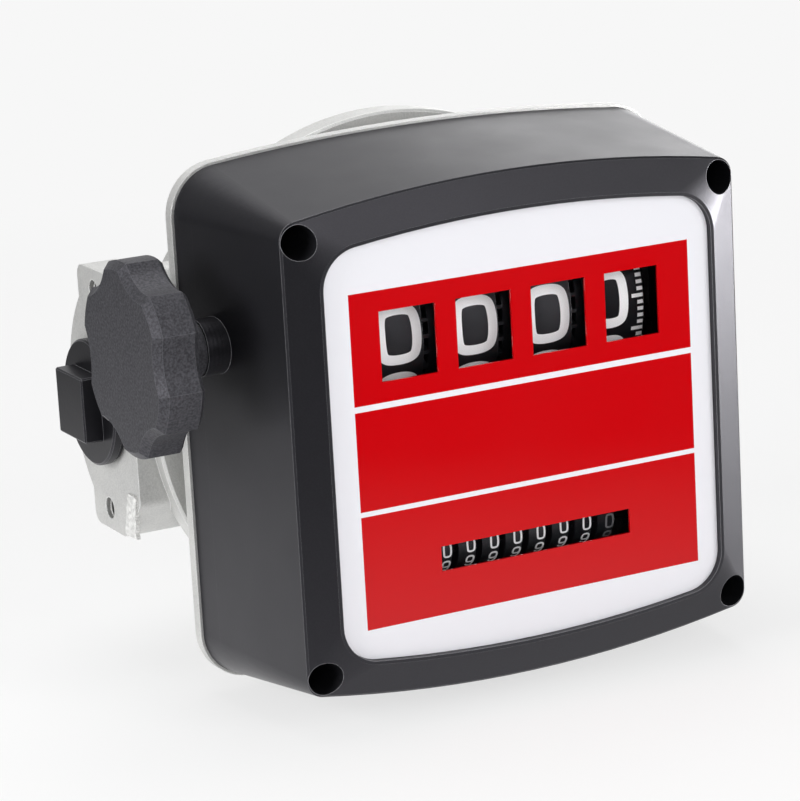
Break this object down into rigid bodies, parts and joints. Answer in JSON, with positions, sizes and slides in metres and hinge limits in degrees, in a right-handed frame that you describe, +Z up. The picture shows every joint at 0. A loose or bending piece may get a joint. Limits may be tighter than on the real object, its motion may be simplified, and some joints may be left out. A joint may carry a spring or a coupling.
{
  "type": "fuel flow meter",
  "caption": "Mechanical in-line fuel meter: cast body with two threaded ports, number-wheel registers behind a glossy face, and a lobed reset knob on the side.",
  "frame": {"origin": "centre of the outlet port's mouth, on the right-hand flange face", "axes": "+X out of the outlet port, along the line through both ports; +Y from the face to the back; +Z up"},
  "size_m": [0.1996, 0.1474, 0.168],
  "materials": {
    "cast_aluminium": "die-cast, matt",
    "nitrile": "matt",
    "zinc_steel": "zinc plated",
    "chamber_plastic": "moulded",
    "steel": "satin",
    "bronze": "turned",
    "acetal": "natural",
    "housing_black": "fine grained",
    "face_print": "printed, glossy",
    "clear_lens": "clear",
    "knob_grey": "coarse grained",
    "plug_black": "moulded",
    "drum_black": "matt"
  },
  "bodies": {
    "meter_body": {"body_casting": "cast_aluminium", "chamber_cover": "cast_aluminium", "cover_seal": "nitrile", "cover_screws": "zinc_steel", "front_chamber": "chamber_plastic", "rear_chamber": "chamber_plastic", "partition_plate": "steel", "outlet_seal": "nitrile", "spindle_bush": "bronze", "idler_stubs": "steel", "bridge_posts": "steel", "gear_bridge": "steel", "side_plate_left": "zinc_steel", "side_plate_right": "zinc_steel", "transfer_shaft": "steel", "total_shaft": "steel", "total_transfer_shaft": "steel", "register_cover": "housing_black", "housing_screws": "zinc_steel", "face_plate": "face_print", "window_lens": "clear_lens", "inlet_strainer": "steel"},
    "drive": {"drive_crank": "chamber_plastic", "drive_spindle": "steel"},
    "disc": {"nutating_disc": "chamber_plastic"},
    "lay": {"lay_gear": "acetal"},
    "cross": {"crown_wheel": "acetal", "cross_shaft": "acetal"},
    "litre_idler_body": {"litre_idler": "acetal"},
    "total_idler_body": {"total_idler": "acetal"},
    "reset": {"reset_shaft": "steel", "reset_knob": "knob_grey"},
    "washer": {"plug_washer": "nitrile"},
    "plug": {"inlet_plug": "plug_black"},
    "wheel_1": {"number_wheel_1": "drum_black"},
    "wheel_2": {"number_wheel_2": "drum_black"},
    "wheel_3": {"number_wheel_3": "drum_black"},
    "wheel_4": {"number_wheel_4": "drum_black"},
    "transfer_1": {"transfer_pinion_1": "acetal"},
    "transfer_2": {"transfer_pinion_2": "acetal"},
    "transfer_3": {"transfer_pinion_3": "acetal"},
    "total_1": {"total_wheel_1": "drum_black"},
    "total_2": {"total_wheel_2": "drum_black"},
    "total_3": {"total_wheel_3": "drum_black"},
    "total_4": {"total_wheel_4": "drum_black"},
    "total_5": {"total_wheel_5": "drum_black"},
    "total_6": {"total_wheel_6": "drum_black"},
    "total_7": {"total_wheel_7": "drum_black"},
    "total_8": {"total_wheel_8": "drum_black"},
    "total_transfer_1": {"total_pinion_1": "acetal"},
    "total_transfer_2": {"total_pinion_2": "acetal"},
    "total_transfer_3": {"total_pinion_3": "acetal"},
    "total_transfer_4": {"total_pinion_4": "acetal"},
    "total_transfer_5": {"total_pinion_5": "acetal"},
    "total_transfer_6": {"total_pinion_6": "acetal"},
    "total_transfer_7": {"total_pinion_7": "acetal"}
  },
  "joints": [
    {"name": "drive_turn", "type": "hinge", "parent": "meter_body", "child": "drive", "pos_m": [-0.089, 0, 0], "axis": [0, 1, 0], "continuous": true},
    {"name": "disc_nutate", "type": "hinge", "parent": "drive", "child": "disc", "pos_m": [-0.089, 0, 0], "axis": [-0.1736, 0.9848, 0], "continuous": true},
    {"name": "lay_turn", "type": "hinge", "parent": "meter_body", "child": "lay", "pos_m": [-0.0613, 0, -0.023], "axis": [0, -1, 0], "continuous": true},
    {"name": "cross_turn", "type": "hinge", "parent": "meter_body", "child": "cross", "pos_m": [-0.089, -0.0714, -0.023], "axis": [1, 0, 0], "continuous": true},
    {"name": "litre_idler_turn", "type": "hinge", "parent": "meter_body", "child": "litre_idler_body", "pos_m": [-0.041, -0.0714, -0.00575], "axis": [1, 0, 0], "continuous": true},
    {"name": "total_idler_turn", "type": "hinge", "parent": "meter_body", "child": "total_idler_body", "pos_m": [-0.047, -0.0934, -0.02289], "axis": [1, 0, 0], "continuous": true},
    {"name": "number_wheel_1_turn", "type": "hinge", "parent": "meter_body", "child": "wheel_1", "pos_m": [-0.05135, -0.0714, 0.0295], "axis": [1, 0, 0], "continuous": true},
    {"name": "number_wheel_2_turn", "type": "hinge", "parent": "meter_body", "child": "wheel_2", "pos_m": [-0.07645, -0.0714, 0.0295], "axis": [1, 0, 0], "continuous": true},
    {"name": "number_wheel_3_turn", "type": "hinge", "parent": "meter_body", "child": "wheel_3", "pos_m": [-0.10155, -0.0714, 0.0295], "axis": [1, 0, 0], "continuous": true},
    {"name": "number_wheel_4_turn", "type": "hinge", "parent": "meter_body", "child": "wheel_4", "pos_m": [-0.12665, -0.0714, 0.0295], "axis": [1, 0, 0], "continuous": true},
    {"name": "transfer_pinion_1_turn", "type": "hinge", "parent": "meter_body", "child": "transfer_1", "pos_m": [-0.0639, -0.04826, 0.00192], "axis": [1, 0, 0], "continuous": true},
    {"name": "transfer_pinion_2_turn", "type": "hinge", "parent": "meter_body", "child": "transfer_2", "pos_m": [-0.089, -0.04826, 0.00192], "axis": [1, 0, 0], "continuous": true},
    {"name": "transfer_pinion_3_turn", "type": "hinge", "parent": "meter_body", "child": "transfer_3", "pos_m": [-0.1141, -0.04826, 0.00192], "axis": [1, 0, 0], "continuous": true},
    {"name": "total_wheel_1_turn", "type": "hinge", "parent": "meter_body", "child": "total_1", "pos_m": [-0.0594, -0.09615, -0.0356], "axis": [1, 0, 0], "continuous": true},
    {"name": "total_wheel_2_turn", "type": "hinge", "parent": "meter_body", "child": "total_2", "pos_m": [-0.0674, -0.09615, -0.0356], "axis": [1, 0, 0], "continuous": true},
    {"name": "total_wheel_3_turn", "type": "hinge", "parent": "meter_body", "child": "total_3", "pos_m": [-0.0754, -0.09615, -0.0356], "axis": [1, 0, 0], "continuous": true},
    {"name": "total_wheel_4_turn", "type": "hinge", "parent": "meter_body", "child": "total_4", "pos_m": [-0.0834, -0.09615, -0.0356], "axis": [1, 0, 0], "continuous": true},
    {"name": "total_wheel_5_turn", "type": "hinge", "parent": "meter_body", "child": "total_5", "pos_m": [-0.0914, -0.09615, -0.0356], "axis": [1, 0, 0], "continuous": true},
    {"name": "total_wheel_6_turn", "type": "hinge", "parent": "meter_body", "child": "total_6", "pos_m": [-0.0994, -0.09615, -0.0356], "axis": [1, 0, 0], "continuous": true},
    {"name": "total_wheel_7_turn", "type": "hinge", "parent": "meter_body", "child": "total_7", "pos_m": [-0.1074, -0.09615, -0.0356], "axis": [1, 0, 0], "continuous": true},
    {"name": "total_wheel_8_turn", "type": "hinge", "parent": "meter_body", "child": "total_8", "pos_m": [-0.1154, -0.09615, -0.0356], "axis": [1, 0, 0], "continuous": true},
    {"name": "total_pinion_1_turn", "type": "hinge", "parent": "meter_body", "child": "total_transfer_1", "pos_m": [-0.0634, -0.08565, -0.0356], "axis": [1, 0, 0], "continuous": true},
    {"name": "total_pinion_2_turn", "type": "hinge", "parent": "meter_body", "child": "total_transfer_2", "pos_m": [-0.0714, -0.08565, -0.0356], "axis": [1, 0, 0], "continuous": true},
    {"name": "total_pinion_3_turn", "type": "hinge", "parent": "meter_body", "child": "total_transfer_3", "pos_m": [-0.0794, -0.08565, -0.0356], "axis": [1, 0, 0], "continuous": true},
    {"name": "total_pinion_4_turn", "type": "hinge", "parent": "meter_body", "child": "total_transfer_4", "pos_m": [-0.0874, -0.08565, -0.0356], "axis": [1, 0, 0], "continuous": true},
    {"name": "total_pinion_5_turn", "type": "hinge", "parent": "meter_body", "child": "total_transfer_5", "pos_m": [-0.0954, -0.08565, -0.0356], "axis": [1, 0, 0], "continuous": true},
    {"name": "total_pinion_6_turn", "type": "hinge", "parent": "meter_body", "child": "total_transfer_6", "pos_m": [-0.1034, -0.08565, -0.0356], "axis": [1, 0, 0], "continuous": true},
    {"name": "total_pinion_7_turn", "type": "hinge", "parent": "meter_body", "child": "total_transfer_7", "pos_m": [-0.1114, -0.08565, -0.0356], "axis": [1, 0, 0], "continuous": true},
    {"name": "reset_turn", "type": "hinge", "parent": "meter_body", "child": "reset", "pos_m": [-0.089, -0.0714, 0.0295], "axis": [1, 0, 0], "continuous": true},
    {"name": "washer_slide", "type": "slide", "parent": "meter_body", "child": "washer", "axis": [-1, 0, 0], "range_m": [0, 0.0208]},
    {"name": "plug_turn", "type": "hinge", "parent": "washer", "child": "plug", "pos_m": [-0.178, 0, 0], "axis": [-1, 0, 0], "range_deg": [0, 3240]}
  ],
  "couplings": [
    {"joint": "disc_nutate", "follows": "drive_turn", "ratio": -1},
    {"joint": "lay_turn", "follows": "drive_turn", "ratio": 0.2},
    {"joint": "cross_turn", "follows": "drive_turn", "ratio": 0.05},
    {"joint": "litre_idler_turn", "follows": "drive_turn", "ratio": -0.026667},
    {"joint": "total_idler_turn", "follows": "drive_turn", "ratio": -0.10714},
    {"joint": "number_wheel_1_turn", "follows": "drive_turn", "ratio": 0.0125},
    {"joint": "number_wheel_2_turn", "follows": "drive_turn", "ratio": 0.00125},
    {"joint": "number_wheel_3_turn", "follows": "drive_turn", "ratio": 0.000125},
    {"joint": "number_wheel_4_turn", "follows": "drive_turn", "ratio": 0.0000125},
    {"joint": "transfer_pinion_1_turn", "follows": "drive_turn", "ratio": -0.00625},
    {"joint": "transfer_pinion_2_turn", "follows": "drive_turn", "ratio": -0.000625},
    {"joint": "transfer_pinion_3_turn", "follows": "drive_turn", "ratio": -0.0000625},
    {"joint": "total_wheel_1_turn", "follows": "drive_turn", "ratio": 0.125},
    {"joint": "total_wheel_2_turn", "follows": "drive_turn", "ratio": 0.0125},
    {"joint": "total_wheel_3_turn", "follows": "drive_turn", "ratio": 0.00125},
    {"joint": "total_wheel_4_turn", "follows": "drive_turn", "ratio": 0.000125},
    {"joint": "total_wheel_5_turn", "follows": "drive_turn", "ratio": 0.0000125},
    {"joint": "total_wheel_6_turn", "follows": "drive_turn", "ratio": 0.00000125},
    {"joint": "total_wheel_7_turn", "follows": "drive_turn", "ratio": 0.000000125},
    {"joint": "total_wheel_8_turn", "follows": "drive_turn", "ratio": 0.0000000125},
    {"joint": "total_pinion_1_turn", "follows": "drive_turn", "ratio": -0.03125},
    {"joint": "total_pinion_2_turn", "follows": "drive_turn", "ratio": -0.003125},
    {"joint": "total_pinion_3_turn", "follows": "drive_turn", "ratio": -0.0003125},
    {"joint": "total_pinion_4_turn", "follows": "drive_turn", "ratio": -0.00003125},
    {"joint": "total_pinion_5_turn", "follows": "drive_turn", "ratio": -0.000003125},
    {"joint": "total_pinion_6_turn", "follows": "drive_turn", "ratio": -0.0000003125},
    {"joint": "total_pinion_7_turn", "follows": "drive_turn", "ratio": -0.00000003125},
    {"joint": "washer_slide", "follows": "plug_turn", "m_per_rad": 0.00036749}
  ]
}
